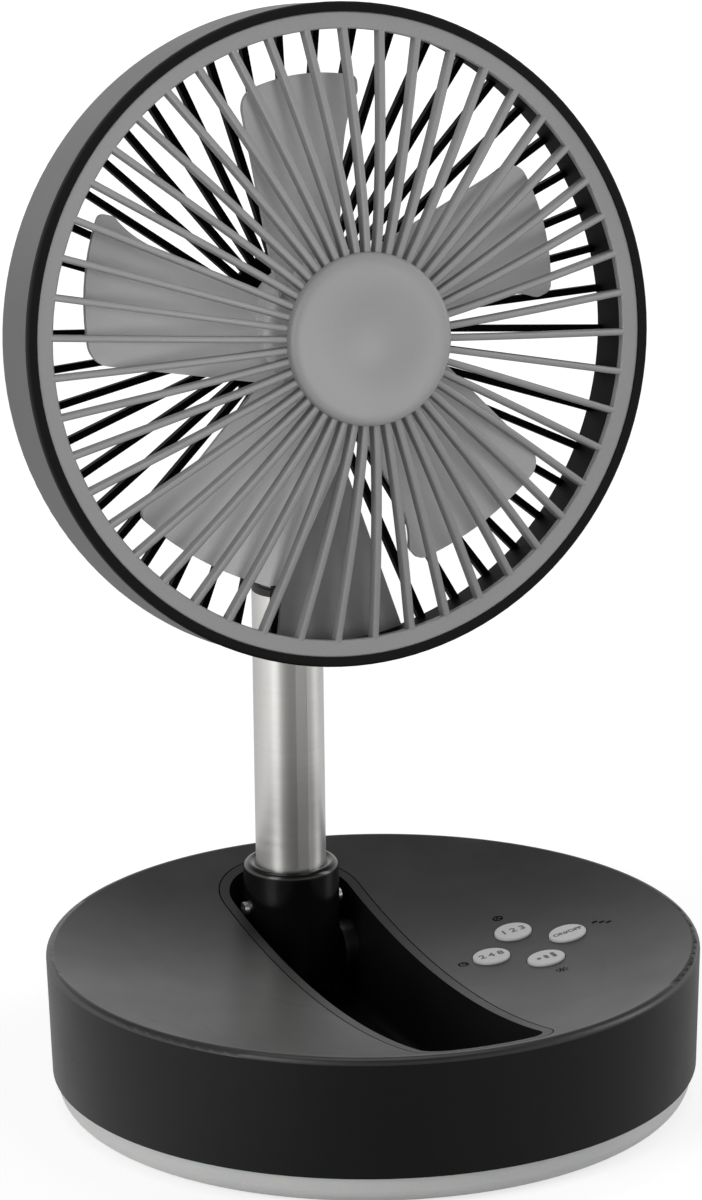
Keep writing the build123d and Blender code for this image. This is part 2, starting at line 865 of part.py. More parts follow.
def front_grille():
    back = grille_ring_front - grille_ring_depth
    ring = tube(rubber_inner_radius, grille_inner_radius, back, grille_ring_front)
    rims = [e for e in ring.edges().filter_by(GeomType.CIRCLE) if e.center().Z > 0]
    ring = fillet(rims, grille_ring_round)
    hub = cylinder(grille_hub_radius, grille_top - grille_hub_depth, grille_top)
    return ring + hub + around(front_rib(), rib_count, rib_phase)


def dome_cap():
    """Soft dome on the middle of the front grille."""
    top = grille_top + cap_rise
    edge = grille_top + cap_edge
    shoulder = (cap_shoulder[0] * cap_radius, grille_top + cap_shoulder[1] * cap_rise)
    return turned(
        Spline((0, top), shoulder, (cap_radius, edge), tangents=((1, 0), (0, -1))),
        Line((cap_radius, edge), (cap_radius, grille_top)),
        Line((cap_radius, grille_top), (0, grille_top)),
        Line((0, grille_top), (0, top)),
    )


def spoke_back(r):
    """Rear face of the spokes at a radius, falling back from the rim to the hub."""
    share = (rear_lip_radius - r) / (rear_lip_radius - rear_hub_radius)
    return rear_rim + rear_lip_thickness + (rear_hub_back - rear_rim - rear_lip_thickness) * min(share, 1.0)


def rear_strip(thickness, inner, reach):
    """Face of a strip along the rear cone between two radii, drawn in radius and height."""
    back = [(r, spoke_back(r)) for r in (inner, rear_hub_radius, rear_lip_radius) if r >= inner]
    back = [p for p in back if p[0] < reach] + [(reach, spoke_back(reach))]
    front = [(r, z + thickness) for r, z in reversed(back)]
    return Plane.XZ * make_face(Polyline(*back, *front, close=True))


def spoke_turns():
    """Angles of the spokes, with none across the spine panel."""
    turns = [spoke_phase + i * 360 / spoke_count for i in range(spoke_count)]
    return [t for t in turns if abs(t - spine_angle) > spine_half_angle]


def spoke(gap=0.0):
    """One spoke along +X, or the room it takes with a gap around it."""
    strip = rear_strip(spoke_depth, rear_hub_radius - rib_root, liner_outside - liner_wall / 2)
    return extrude(strip, spoke_width / 2 + gap, both=True)


def rear_grille():
    """Liner, spokes and hub plate in one moulding."""
    front = grille_ring_front - grille_ring_depth
    liner = tube(liner_outside, liner_outside - liner_wall, spoke_back(rear_lip_radius), front)
    hub = cylinder(rear_hub_radius, rear_hub_back, rear_hub_back + rear_hub_thickness)
    grille = liner + hub + [Rot(0, 0, t) * spoke() for t in spoke_turns()]
    hole = cylinder(screw_radius, rear_hub_back - over, 0, motor_screw_circle)
    return grille - around(hole, motor_screw_count, motor_screw_turn)


def spine_panel():
    """Solid panel from the hub plate down to the liner, between two spokes."""
    inner = rear_hub_radius + running_gap
    reach = liner_outside - liner_wall - running_gap
    panel = revolve(rear_strip(spine_thickness, inner, reach), Axis.Z, 2 * spine_half_angle)
    panel = Rot(0, 0, spine_angle - spine_half_angle) * panel
    panel -= [Rot(0, 0, t) * spoke(running_gap) for t in spoke_turns()]
    for v in bracket_screw_places():
        panel -= bracket_screw_frame(v) * cylinder(screw_radius, 0, bracket_screw_bite)
    return panel


def motor_can():
    """Can of the motor, open inside, with a boss for each bearing."""
    floor = can_back + motor_wall
    ceiling = motor_front - motor_wall
    can = cylinder(motor_radius, can_back, motor_front)
    can = fillet(can.edges().sort_by(Axis.Z)[-1], motor_round)
    can -= cylinder(motor_radius - motor_wall, floor, ceiling)
    can += cylinder(bearing_radius + bearing_wall, floor, floor + bearing_length)
    can += cylinder(bearing_radius + bearing_wall, ceiling - bearing_length, motor_front)
    can -= cylinder(bearing_radius, floor, floor + bearing_length)
    can -= cylinder(bearing_radius, ceiling - bearing_length, motor_front + over)
    hole = cylinder(screw_radius, can_back - over, floor + fit_gap, motor_screw_circle)
    return can - around(hole, motor_screw_count, motor_screw_turn)


def motor_bearings():
    back = can_back + motor_wall
    front = motor_front - motor_wall
    rear = tube(bearing_radius, shaft_radius + running_gap, back, back + bearing_length)
    fore = tube(bearing_radius, shaft_radius + running_gap, front - bearing_length, front)
    return [rear, fore]


def motor_magnets():
    """Two magnet arcs inside the can."""
    low = can_back + motor_wall + magnet_gap
    high = motor_front - motor_wall - magnet_gap
    outer = motor_radius - motor_wall
    ring = tube(outer, outer - magnet_thickness, low, high)
    return ring - Box(3 * motor_radius, magnet_split, 4 * motor_radius)


def motor_screws():
    one = Pos(motor_screw_circle, 0, rear_hub_back) * screw(rear_hub_thickness + motor_wall)
    return around(one, motor_screw_count, motor_screw_turn)


def rear_cap():
    """Shallow round cover over the back of the hub."""
    back = rear_hub_back - rear_cap_depth
    cap = cylinder(rear_cap_radius, back, rear_hub_back)
    cap = fillet(cap.edges().sort_by(Axis.Z)[0], rear_cap_round)
    return cap - cylinder(rear_cap_radius - rear_cap_rim, back + rear_cap_floor, rear_hub_back)


def bracket_screw_places():
    return (bracket_pad_low + bracket_screw_inset, bracket_pad_high - bracket_screw_inset)


def bracket_screw_frame(v):
    """Seat of a bracket screw on the back of the pad at height v up the head: z points forward."""
    rise = spoke_back(rear_lip_radius) - spoke_back(rear_hub_radius)
    slope = atan2(rise, rear_lip_radius - rear_hub_radius)
    seat = spoke_back(-v) - bracket_pad_thickness - running_gap
    return Location((0, v, seat)) * Rot(-degrees(slope), 0, 0)


def head_bracket():
    """Pad on the back of the spine panel with two ears that turn on the tilt pin."""
    ends = [(-v, spoke_back(-v)) for v in (bracket_pad_low, bracket_pad_high)]
    outline = ends + [(r, z - bracket_pad_thickness) for r, z in reversed(ends)]
    pad = extrude(Plane.XZ * make_face(Polyline(*outline, close=True)), bracket_pad_half, both=True)
    bracket = Rot(0, 0, -90) * pad
    arm_low = hinge_up - bracket_arm_below
    arm_high = hinge_up + bracket_arm_above
    at_hinge = Pos(0, hinge_up, hinge_out) * Rot(0, 90, 0)
    for side in (-1, 1):
        near, far = sorted((side * (ear_outside - ear_thickness), side * ear_outside))
        arm = box((near, arm_low, hinge_out), (far, arm_high, spoke_back(-arm_high) - fit_gap))
        eye = Pos((near + far) / 2, 0, 0) * at_hinge * Cylinder(ear_radius, far - near)
        bracket += arm + eye
    bracket -= at_hinge * Cylinder(tilt_pin_radius + running_gap, 4 * cheek_outside)
    for v in bracket_screw_places():
        bracket -= bracket_screw_frame(v) * cylinder(screw_radius, -over, bracket_screw_bite)
    return bracket


def bracket_screws():
    return [bracket_screw_frame(v) * screw(bracket_screw_bite) for v in bracket_screw_places()]


# ---------------------------------------------------------------- rotor, in the head's frame


def blade_section(r):
    """Section of a blade at a distance along its radius: a thin slanted strip."""
    share = (r - rotor_hub_radius) / (blade_tip_radius - rotor_hub_radius)
    pitch = blade_root_pitch + (blade_tip_pitch - blade_root_pitch) * share
    chord = 2 * (blade_lead_tip + blade_root) / cos(radians(pitch))
    plane = Plane(origin=(r, 0, blade_centre), x_dir=(0, 1, 0), z_dir=(1, 0, 0))
    return plane * Rot(0, 0, pitch) * Rectangle(chord, blade_thickness)


def blade_plan():
    """Plan of a blade along +X: an arc at the tip, a full leading edge and a hooked trailing edge."""
    near = blade_start
    far = blade_tip_radius
    lead = (sqrt(far**2 - blade_lead_tip**2), blade_lead_tip)
    hook_low = (blade_hook[0], -blade_hook[1])
    hook = (sqrt(far**2 - blade_hook[1] ** 2), -blade_hook[1])
    neck = (blade_neck[0], -blade_neck[1])
    root = (near, -blade_trail_root)
    slope = (neck[0] - root[0], neck[1] - root[1])
    edges = [
        ThreePointArc(lead, (far, 0), hook),
        Line(hook, hook_low),
        Spline(hook_low, neck, tangents=((-1, 1), (-slope[0], -slope[1]))),
        Line(neck, root),
        Line(root, (near, blade_lead_root)),
        Line((near, blade_lead_root), lead),
    ]
    plan = make_face(Wire(edges))
    plan = fillet(plan.vertices().sort_by(Axis.Y)[-1], blade_corner)
    return fillet(plan.vertices().sort_by(Axis.Y)[:2], blade_hook_round)


def blade():
    """One twisted blade along +X."""
    stations = (blade_start, *blade_stations, blade_tip_radius + blade_root)
    body = loft([blade_section(r) for r in stations])
    return body & (Pos(0, 0, 2 * rotor_hub_back) * extrude(blade_plan(), -4 * rotor_hub_back))


def fan_rotor():
    inside = rotor_hub_front - rotor_hub_wall
    hub = cylinder(rotor_hub_radius, rotor_hub_back, rotor_hub_front)
    hub = fillet(hub.edges().sort_by(Axis.Z)[-1], rotor_hub_round)
    hub -= cylinder(rotor_hub_radius - rotor_hub_wall, rotor_hub_back, inside)
    hub += cylinder(shaft_radius + rotor_sleeve_wall, motor_front + rotor_sleeve_gap, inside)
    room = cylinder(rotor_hub_radius - rotor_hub_wall / 2, 2 * rotor_hub_back, -rotor_hub_back)
    blades = [b - room for b in around(blade(), blade_count, blade_phase)]
    rotor = hub + blades
    return rotor - cylinder(shaft_radius, 2 * rotor_hub_back, inside)


def motor_shaft():
    low = can_back + motor_wall + fit_gap
    return cylinder(shaft_radius, low, rotor_hub_front - rotor_hub_wall)


def motor_armature():
    low = can_back + motor_wall + bearing_length + armature_gap
    high = motor_front - motor_wall - bearing_length - armature_gap
    core = tube(armature_radius, shaft_radius, low, high)
    slot = Pos(armature_radius, 0, 0) * Box(*armature_slot, 6 * motor_radius)
    return core - around(slot, armature_slots)


# ---------------------------------------------------------------- write the parts


BASE_PARTS = (
    side_wall,
    top_cover,
    pole_trough,
    light_ring,
    light_board,
    light_leds,
    bottom_plate,
    rubber_feet,
    base_screws,
    battery_cells,
    battery_cradle,
    control_board,
    tact_switches,
    charging_port,
)
POLE_PARTS = (
    pole_pin,
    pivot_washers,
    pole_socket,
    collar_ring,
    socket_screws,
    outer_tube,
    neck_clevis,
    tilt_pin,
    tilt_barrel,
)
HEAD_PARTS = (
    rear_shell,
    rubber_ring,
    front_grille,
    dome_cap,
    rear_grille,
    spine_panel,
    motor_can,
    motor_bearings,
    motor_magnets,
    motor_screws,
    rear_cap,
    head_bracket,
    bracket_screws,
    fan_rotor,
    motor_shaft,
    motor_armature,
)


def main():
    os.makedirs("parts", exist_ok=True)
    for make in BASE_PARTS + POLE_PARTS:
        save(make.__name__, make())
    for name, (x, y) in button_places():
        save(name, button(x, y))
    last = len(tube_radii) - 1
    for i in range(1, last + 1):
        save(f"inner_tube_{i}", telescope_tube(i))
        save(f"slide_bush_{i}", slide_bush(i))
    for i in range(last):
        save(f"top_bush_{i}", top_bush(i))
    for make in HEAD_PARTS:
        shape = make()
        pieces = shape if isinstance(shape, list) else [shape]
        save(make.__name__, [HEAD * piece for piece in pieces])


main()
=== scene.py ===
"""Finishes, marks and lighting of a folding camping fan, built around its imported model."""

from math import cos, pi, radians, sin

import bpy
from mathutils import Matrix, Vector
from mathutils.bvhtree import BVHTree


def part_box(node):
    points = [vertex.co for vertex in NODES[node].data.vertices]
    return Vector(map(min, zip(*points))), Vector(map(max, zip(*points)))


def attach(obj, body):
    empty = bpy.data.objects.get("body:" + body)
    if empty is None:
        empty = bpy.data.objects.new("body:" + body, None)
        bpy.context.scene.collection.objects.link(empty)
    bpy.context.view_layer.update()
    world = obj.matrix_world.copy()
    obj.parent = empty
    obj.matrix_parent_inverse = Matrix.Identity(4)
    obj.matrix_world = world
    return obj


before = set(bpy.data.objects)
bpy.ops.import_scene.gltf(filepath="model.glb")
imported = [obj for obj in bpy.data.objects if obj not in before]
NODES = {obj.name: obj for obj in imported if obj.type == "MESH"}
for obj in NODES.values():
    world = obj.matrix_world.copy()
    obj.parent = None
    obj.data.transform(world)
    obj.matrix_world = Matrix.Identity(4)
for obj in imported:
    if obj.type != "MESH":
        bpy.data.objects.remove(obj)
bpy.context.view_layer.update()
bpy.ops.object.select_all(action="DESELECT")

MM = 0.001

# ---------------------------------------------------------------- view

SENSOR = 36.0
LENS = 235.53
AZIMUTH, ELEVATION, ROLL = radians(-22.08), radians(17.845), radians(-0.754)
TARGET = Vector((0.0, 0.0, 0.150))
TARGET_SHIFT = (-5.428 * MM, 7.616 * MM)  # to the right and up, across the view
DISTANCE = 2.370
SIGHT_END = 20.0
TO_VIEWER = (sin(AZIMUTH), -cos(AZIMUTH), 0.0)  # level directions from the object
TO_RIGHT = (cos(AZIMUTH), sin(AZIMUTH), 0.0)


def add_camera():
    """A long lens from 2.4 m away, a little above the object and to its left."""
    back = Vector((sin(AZIMUTH) * cos(ELEVATION), -cos(AZIMUTH) * cos(ELEVATION), sin(ELEVATION)))
    level = Vector(TO_RIGHT)
    upright = back.cross(level)
    right = cos(ROLL) * level + sin(ROLL) * upright
    up = cos(ROLL) * upright - sin(ROLL) * level
    data = bpy.data.cameras.new("view")
    data.sensor_fit = "VERTICAL"
    data.sensor_height = SENSOR
    data.lens = LENS
    data.clip_end = SIGHT_END
    camera = bpy.data.objects.new("view", data)
    place = TARGET + TARGET_SHIFT[0] * right + TARGET_SHIFT[1] * up + DISTANCE * back
    turn = Matrix((right, up, back)).transposed()
    camera.matrix_world = Matrix.Translation(place) @ turn.to_4x4()
    bpy.context.scene.collection.objects.link(camera)
    bpy.context.scene.camera = camera


# ---------------------------------------------------------------- node helpers

NOISE = (0.3, 0.7)  # the range that nearly all of a noise lies in


class Net:
    """A small hand for wiring nodes in a material or a group."""

    def __init__(self, tree):
        self.tree = tree

    def add(self, kind, inputs=None, **settings):
        """A new node, with its settings given first and its inputs after."""
        node = self.tree.nodes.new(kind)
        for name, value in settings.items():
            setattr(node, name, value)
        for name, value in (inputs or {}).items():
            self.feed(node.inputs[name], value)
        return node

    def feed(self, socket, value):
        """Links a socket to an output, or gives it a constant."""
        if isinstance(value, bpy.types.NodeSocket):
            self.tree.links.new(value, socket)
        else:
            socket.default_value = value

    def math(self, operation, *values):
        node = self.add("ShaderNodeMath", operation=operation)
        for socket, value in zip(node.inputs, values):
            self.feed(socket, value)
        return node.outputs[0]

    def vector_math(self, operation, *values):
        return self.add("ShaderNodeVectorMath", dict(enumerate(values)), operation=operation).outputs

    def span(self, value, low, high, to_low=0.0, to_high=1.0):
        """Maps one range of a value to another."""
        names = ("Value", "From Min", "From Max", "To Min", "To Max")
        inputs = dict(zip(names, (value, low, high, to_low, to_high)))
        return self.add("ShaderNodeMapRange", inputs).outputs["Result"]

    def mix(self, share, a, b):
        """A colour between two others."""
        node = self.add("ShaderNodeMix", data_type="RGBA")
        self.feed(node.inputs[0], share)
        self.feed(node.inputs[6], a)
        self.feed(node.inputs[7], b)
        return node.outputs[2]

    def noise(self, vector, scale, detail=2.0, rough=0.5):
        inputs = {"Vector": vector, "Scale": scale, "Detail": detail, "Roughness": rough}
        return self.add("ShaderNodeTexNoise", inputs).outputs["Fac"]

    def place(self, scale=(1.0, 1.0, 1.0)):
        """Object coordinates through a mapping."""
        coordinates = self.add("ShaderNodeTexCoord").outputs["Object"]
        return self.add("ShaderNodeMapping", {"Vector": coordinates, "Scale": scale}).outputs["Vector"]

    def bump(self, height, distance):
        inputs = {"Height": height, "Distance": distance, "Strength": 1.0}
        return self.add("ShaderNodeBump", inputs).outputs["Normal"]


def grey(value):
    return (value, value, value, 1.0)


# ---------------------------------------------------------------- shared effects

FINE_GRAIN, COARSE_GRAIN, BLOTCHES = 2600.0, 640.0, 22.0  # noise scales, per metre
FINE_SHARE = 0.65  # of the grain's height
SPECK = 0.05  # how much the fine grain changes the colour
BLOTCH_ROUGHNESS, GRAIN_ROUGHNESS = 0.03, 0.02

RUBBED_SCALE, RUBBED_RANGE, RUBBED_ROUGHNESS = 14.0, (0.48, 0.72), 0.07
HAIR_SCALES = ((900.0, 14.0, 30.0), (20.0, 1100.0, 24.0), (26.0, 18.0, 1000.0))
HAIR_RANGE, HAIR_ROUGHNESS = (0.70, 0.76), 0.12
HAIR_PATCH_SCALE, HAIR_PATCH_RANGE = 30.0, (0.52, 0.60)

DUST_COLOR = (0.42, 0.41, 0.40, 1.0)
DUST_SCALE, DUST_RANGE = 60.0, (0.42, 0.75)
DUST_SLOPE = (0.3, 1.0)  # how far up a face looks for dust to start and to be full


def new_group(name, inputs, outputs):
    """A shader node group with named inputs, each with its start value, and outputs of a kind."""
    tree = bpy.data.node_groups.new(name, "ShaderNodeTree")
    for label, value in inputs.items():
        kind = "NodeSocketColor" if isinstance(value, tuple) else "NodeSocketFloat"
        socket = tree.interface.new_socket(label, in_out="INPUT", socket_type=kind)
        socket.default_value = value
    for label, kind in outputs.items():
        tree.interface.new_socket(label, in_out="OUTPUT", socket_type=kind)
    net = Net(tree)
    return tree, net, net.add("NodeGroupInput").outputs, net.add("NodeGroupOutput").inputs


def moulded_skin_group():
    """Fine spark grain of a moulded face, with slow blotches of roughness and slightly uneven colour.
    """
    inputs = {"Color": grey(0.1), "Roughness": 0.4, "Grain": 1.0, "Tone": 0.08, "Size": 1.0}
    outputs = {"Color": "NodeSocketColor", "Roughness": "NodeSocketFloat", "Height": "NodeSocketFloat"}
    tree, net, given, result = new_group("moulded_skin", inputs, outputs)
    at = net.place()
    fine = net.noise(at, net.math("MULTIPLY", given["Size"], FINE_GRAIN), 1.0)
    coarse = net.noise(at, net.math("MULTIPLY", given["Size"], COARSE_GRAIN), 3.0)
    slow = net.noise(at, BLOTCHES, 3.0, 0.6)
    fine_part = net.math("MULTIPLY", fine, FINE_SHARE)
    coarse_part = net.math("MULTIPLY", coarse, 1.0 - FINE_SHARE)
    grain = net.math("ADD", fine_part, coarse_part)
    net.feed(result["Height"], net.math("MULTIPLY", grain, given["Grain"]))
    uneven = net.span(slow, *NOISE, -0.5, 0.5)
    tone = net.math("ADD", 1.0, net.math("MULTIPLY", uneven, given["Tone"]))
    specks = net.math("MULTIPLY", net.span(fine, *NOISE, -SPECK, SPECK), given["Grain"])
    shade = net.add("ShaderNodeVectorMath", operation="SCALE")
    net.feed(shade.inputs[0], given["Color"])
    net.feed(shade.inputs["Scale"], net.math("ADD", tone, specks))
    net.feed(result["Color"], shade.outputs[0])
    blotched = net.span(slow, *NOISE, -BLOTCH_ROUGHNESS, BLOTCH_ROUGHNESS)
    grained = net.span(fine, *NOISE, -GRAIN_ROUGHNESS, GRAIN_ROUGHNESS)
    rough = net.math("ADD", given["Roughness"], blotched)
    net.feed(result["Roughness"], net.math("ADD", rough, grained))
    return tree


def handling_group():
    """Faint rubbed patches and hair scratches that change roughness only."""
    outputs = {"Roughness": "NodeSocketFloat"}
    tree, net, given, result = new_group("handling", {"Roughness": 0.3, "Amount": 1.0}, outputs)
    rubbed = net.span(net.noise(net.place(), RUBBED_SCALE, 4.0, 0.65), *RUBBED_RANGE)
    hairs = [net.span(net.noise(net.place(scale), 1.0, 1.0), *HAIR_RANGE) for scale in HAIR_SCALES]
    scratch = net.math("MAXIMUM", net.math("MAXIMUM", hairs[0], hairs[1]), hairs[2])
    sparse = net.span(net.noise(net.place(), HAIR_PATCH_SCALE, 2.0), *HAIR_PATCH_RANGE)
    scratch = net.math("MULTIPLY", scratch, sparse)
    from_rubbed = net.math("MULTIPLY", rubbed, RUBBED_ROUGHNESS)
    from_scratch = net.math("MULTIPLY", scratch, HAIR_ROUGHNESS)
    more = net.math("MULTIPLY", net.math("ADD", from_rubbed, from_scratch), given["Amount"])
    net.feed(result["Roughness"], net.math("ADD", given["Roughness"], more))
    return tree


def dust_group():
    """Pale dust that settles on faces that look up."""
    inputs = {"Color": grey(0.1), "Amount": 0.1}
    tree, net, given, result = new_group("dust", inputs, {"Color": "NodeSocketColor"})
    normal = net.add("ShaderNodeNewGeometry").outputs["Normal"]
    up = net.add("ShaderNodeSeparateXYZ", {"Vector": normal}).outputs["Z"]
    patchy = net.span(net.noise(net.place(), DUST_SCALE, 5.0, 0.7), *DUST_RANGE)
    share = net.math("MULTIPLY", net.span(up, *DUST_SLOPE), patchy)
    share = net.math("MULTIPLY", share, given["Amount"])
    net.feed(result["Color"], net.mix(share, given["Color"], DUST_COLOR))
    return tree


GROUPS = {"skin": moulded_skin_group(), "handling": handling_group(), "dust": dust_group()}


def place_group(net, name, **values):
    """Puts a shared group in a material with its own values."""
    node = net.add("ShaderNodeGroup", node_tree=GROUPS[name])
    for label, value in values.items():
        net.feed(node.inputs[label], value)
    return node.outputs


def new_material(name):
    """A material, a hand for its nodes and the inputs of its shader."""
    material = bpy.data.materials.new(name)
    material.use_nodes = True
    return material, Net(material.node_tree), material.node_tree.nodes["Principled BSDF"].inputs


# ---------------------------------------------------------------- materials

# Noise scales are per metre; a group of three is along x, y and z.
STEEL = (0.80, 0.79, 0.77, 1.0)
PIN_STEEL = grey(0.50)
LINES_ROUND_TUBE = (60.0, 60.0, 5000.0)
LINES_ALONG_PIN = (30.0, 1500.0, 1500.0)
BROAD_LINES = (30.0, 30.0, 700.0)
BROAD_SHARE = 0.3
STEEL_PATCHES = 30.0
LINE_DEPTH = 0.003 * MM
LINE_DARKENING = 0.06
LINE_ROUGHNESS, PATCH_ROUGHNESS = 0.05, 0.03
LINE_STRETCH = 0.75  # how far ground lines spread a mirror image across them
TURNED_ACROSS = 0.25  # of a full turn

PITS, PIT_DEPTH = 1800.0, 0.002 * MM
HAZE, HAZE_RANGE = 90.0, (0.35, 0.7)
PLATING_DULLED = 0.82

MILKY = ((0.72, 0.72, 0.715, 1.0), (0.62, 0.62, 0.616, 1.0))
SWIRLS, SWIRL_SHARE = (9.0, 9.0, 60.0), 0.35
MILKY_GRAIN_DEPTH = 0.012 * MM
LIGHT_DEPTH = 3.0 * MM  # how far light gets in

LACQUERS = ((0.010, 0.085, 0.035, 1.0), (0.014, 0.110, 0.045, 1.0))
COPPER_RUN = (0.030, 0.190, 0.080, 1.0)
BOARD_GRID = (160.0, 160.0, 160.0)
RUN_WIDTH, RUN_DEPTH = 0.06, 0.02 * MM
WEAVE = 2400.0

ENAMEL = ((0.20, 0.055, 0.015, 1.0), (0.62, 0.24, 0.08, 1.0))
WIRE_TURNS, WIRE_WANDER, WIRE_DEPTH = 900.0, 0.6, 0.08 * MM

SLEEVE_BLUE = (0.030, 0.110, 0.240, 1.0)
WRINKLES, WRINKLE_RANGE, WRINKLE_DEPTH = (60.0, 700.0, 60.0), (0.45, 0.62), 0.05 * MM

PHOSPHOR = ((0.86, 0.70, 0.16, 1.0), (0.90, 0.78, 0.30, 1.0))
CRYSTALS, CRYSTAL_RANGE, CRYSTAL_DEPTH = 1500.0, (0.4, 0.6), 0.02 * MM

INK_COVER, COVER_RANGE, INK_DEPTH = 2200.0, (0.35, 0.65), 0.003 * MM
THIN_INK = 0.85  # of the full cover's brightness
INK_UNEVEN = 0.05


def moulded_plastic(
    name, value, roughness,
    grain=1.0, tone=0.08, dust=0.0, handling=0.6, size=1.0, depth=0.02, specular=0.5,
):
    """Grey or black moulded plastic: spark grain of a depth in mm, rubbed patches and some dust."""
    material, net, shader = new_material(name)
    given = {"Color": grey(value), "Roughness": roughness, "Grain": grain, "Tone": tone, "Size": size}
    skin = place_group(net, "skin", **given)
    rubbed = place_group(net, "handling", Roughness=skin["Roughness"], Amount=handling)
    shade = skin["Color"]
    if dust:
        shade = place_group(net, "dust", Color=shade, Amount=dust)["Color"]
    net.feed(shader["Base Color"], shade)
    net.feed(shader["Roughness"], rubbed["Roughness"])
    net.feed(shader["Normal"], net.bump(skin["Height"], depth * MM))
    net.feed(shader["Specular IOR Level"], specular)
    return material


def rubber(name, value):
    """Matt rubber with a dry, slightly blotchy face."""
    look = {"grain": 1.6, "tone": 0.3, "dust": 0.02, "handling": 0.2, "size": 0.5, "depth": 0.03}
    return moulded_plastic(name, value, 0.66, specular=0.2, **look)


def ground_steel(name, color, roughness, direction):
    """Satin steel with fine lines in it, which spread what it mirrors across them."""
    material, net, shader = new_material(name)
    lines = net.noise(net.place(direction), 1.0, 2.0, 0.7)
    broad = net.noise(net.place(BROAD_LINES), 1.0, 2.0)
    patches = net.noise(net.place(), STEEL_PATCHES, 3.0)
    fine_part = net.math("MULTIPLY", lines, 1.0 - BROAD_SHARE)
    streaks = net.math("ADD", fine_part, net.math("MULTIPLY", broad, BROAD_SHARE))
    low = tuple(c * (1.0 - LINE_DARKENING) for c in color[:3]) + (1.0,)
    net.feed(shader["Base Color"], net.mix(net.span(streaks, *NOISE), low, color))
    lined = net.span(streaks, *NOISE, -LINE_ROUGHNESS, LINE_ROUGHNESS)
    patched = net.span(patches, *NOISE, -PATCH_ROUGHNESS, PATCH_ROUGHNESS)
    rough = net.math("ADD", net.math("ADD", roughness, lined), patched)
    rubbed = place_group(net, "handling", Roughness=rough, Amount=0.5)
    net.feed(shader["Roughness"], rubbed["Roughness"])
    net.feed(shader["Metallic"], 1.0)
    net.feed(shader["Anisotropic"], LINE_STRETCH)
    net.feed(shader["Anisotropic Rotation"], TURNED_ACROSS)
    round_axis = net.add("ShaderNodeTangent", direction_type="RADIAL", axis="Z")
    net.feed(shader["Tangent"], round_axis.outputs[0])
    net.feed(shader["Normal"], net.bump(lines, LINE_DEPTH))
    return material


def plated_metal(name, color, roughness):
    """Bright plated metal with tiny pits and handling marks."""
    material, net, shader = new_material(name)
    pits = net.noise(net.place(), PITS, 2.0)
    haze = net.noise(net.place(), HAZE, 3.0)
    dull = tuple(c * PLATING_DULLED for c in color[:3]) + (1.0,)
    net.feed(shader["Base Color"], net.mix(net.span(haze, *HAZE_RANGE), color, dull))
    rubbed = place_group(net, "handling", Roughness=roughness, Amount=0.8)
    net.feed(shader["Roughness"], rubbed["Roughness"])
    net.feed(shader["Metallic"], 1.0)
    net.feed(shader["Normal"], net.bump(pits, PIT_DEPTH))
    return material


def frosted_ring():
    """Milky light ring: soft depth and faint mould swirls."""
    material, net, shader = new_material("frosted_ring")
    given = {"Color": MILKY[0], "Roughness": 0.38, "Grain": 0.6, "Tone": 0.05, "Size": 0.8}
    skin = place_group(net, "skin", **given)
    swirl = net.span(net.noise(net.place(SWIRLS), 1.0, 4.0, 0.6), *NOISE)
    tint = net.mix(net.math("MULTIPLY", swirl, SWIRL_SHARE), skin["Color"], MILKY[1])
    net.feed(shader["Base Color"], tint)
    net.feed(shader["Roughness"], skin["Roughness"])
    net.feed(shader["Normal"], net.bump(skin["Height"], MILKY_GRAIN_DEPTH))
    net.feed(shader["Subsurface Weight"], 0.35)
    net.feed(shader["Subsurface Scale"], LIGHT_DEPTH)
    net.feed(shader["Specular IOR Level"], 0.45)
    return material


def circuit_board():
    """Green lacquered board with lighter copper runs under the lacquer."""
    material, net, shader = new_material("circuit_board")
    colors = {"Color1": LACQUERS[0], "Color2": LACQUERS[1], "Mortar": COPPER_RUN}
    laid = {"Vector": net.place(BOARD_GRID), "Scale": 1.0, "Mortar Size": RUN_WIDTH}
    grid = net.add("ShaderNodeTexBrick", colors | laid)
    weave = net.noise(net.place(), WEAVE, 1.0)
    net.feed(shader["Base Color"], grid.outputs["Color"])
    net.feed(shader["Roughness"], net.span(weave, *NOISE, 0.22, 0.32))
    net.feed(shader["Normal"], net.bump(grid.outputs["Fac"], RUN_DEPTH))
    return material


def wound_copper():
    """Enamelled copper wire laid turn by turn."""
    material, net, shader = new_material("wound_copper")
    laid = {"Vector": net.place(), "Scale": WIRE_TURNS, "Distortion": WIRE_WANDER}
    turns = net.add("ShaderNodeTexWave", laid).outputs["Fac"]
    net.feed(shader["Base Color"], net.mix(turns, *ENAMEL))
    net.feed(shader["Roughness"], net.span(turns, 0.0, 1.0, 0.42, 0.24))
    net.feed(shader["Metallic"], 0.85)
    net.feed(shader["Normal"], net.bump(turns, WIRE_DEPTH))
    return material


def cell_sleeve():
    """Shrink sleeve with a few soft wrinkles round the cell."""
    material, net, shader = new_material("cell_sleeve")
    given = {"Color": SLEEVE_BLUE, "Roughness": 0.30, "Grain": 0.3, "Tone": 0.1, "Size": 0.4}
    skin = place_group(net, "skin", **given)
    wrinkles = net.span(net.noise(net.place(WRINKLES), 1.0, 2.0), *WRINKLE_RANGE)
    net.feed(shader["Base Color"], skin["Color"])
    net.feed(shader["Roughness"], skin["Roughness"])
    net.feed(shader["Normal"], net.bump(wrinkles, WRINKLE_DEPTH))
    return material


def lamp_material():
    """Yellow phosphor of the lamps under the ring, slightly grainy."""
    material, net, shader = new_material("lamp")
    grain = net.noise(net.place(), CRYSTALS, 2.0)
    net.feed(shader["Base Color"], net.mix(net.span(grain, *CRYSTAL_RANGE), *PHOSPHOR))
    net.feed(shader["Roughness"], net.span(grain, *NOISE, 0.3, 0.45))
    net.feed(shader["Normal"], net.bump(grain, CRYSTAL_DEPTH))
    return material


